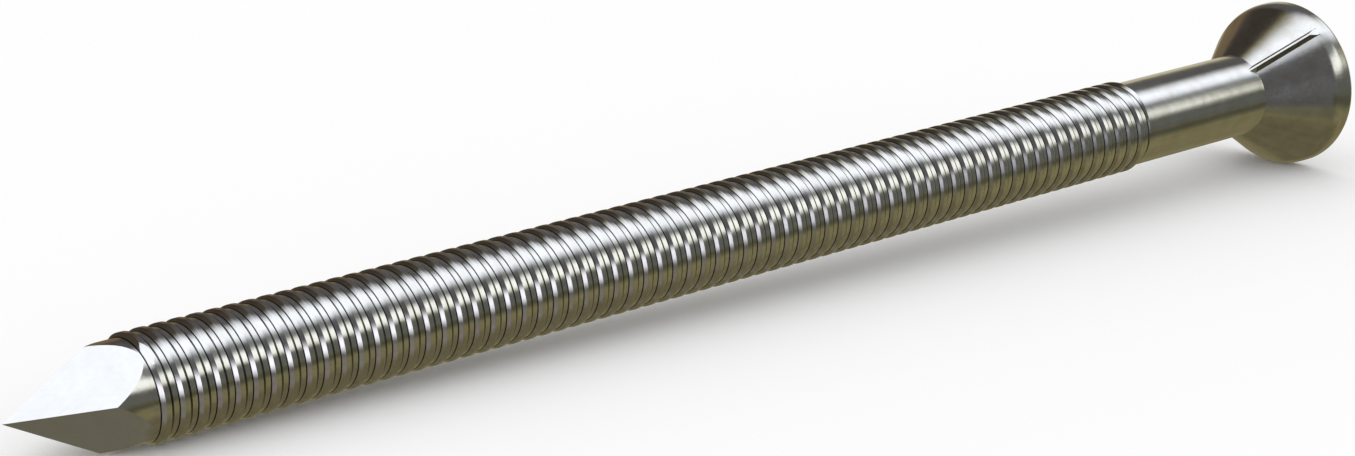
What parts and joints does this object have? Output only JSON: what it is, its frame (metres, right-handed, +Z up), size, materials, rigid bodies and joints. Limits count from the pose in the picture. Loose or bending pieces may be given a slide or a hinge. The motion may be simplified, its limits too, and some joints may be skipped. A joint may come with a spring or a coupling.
{
  "type": "ring-thread wire nail",
  "caption": "Steel wire nail with a four-facet point, a fine rolled thread, a plain neck and a conical head with a rounded rim and flat top.",
  "frame": {"origin": "middle of the nail's outline on the floor it lies on", "axes": "+X along the lying nail from the point towards the head, +Z up; the nail's own length is tipped 1.70 degrees up towards the head, because it lies on its first thread crest and its head's rim"},
  "size_m": [0.0508, 0.0058, 0.0059],
  "materials": {
    "bright_steel_wire": "bright drawn and polished steel"
  },
  "bodies": {
    "root": {"nail": "bright_steel_wire"}
  },
  "joints": []
}
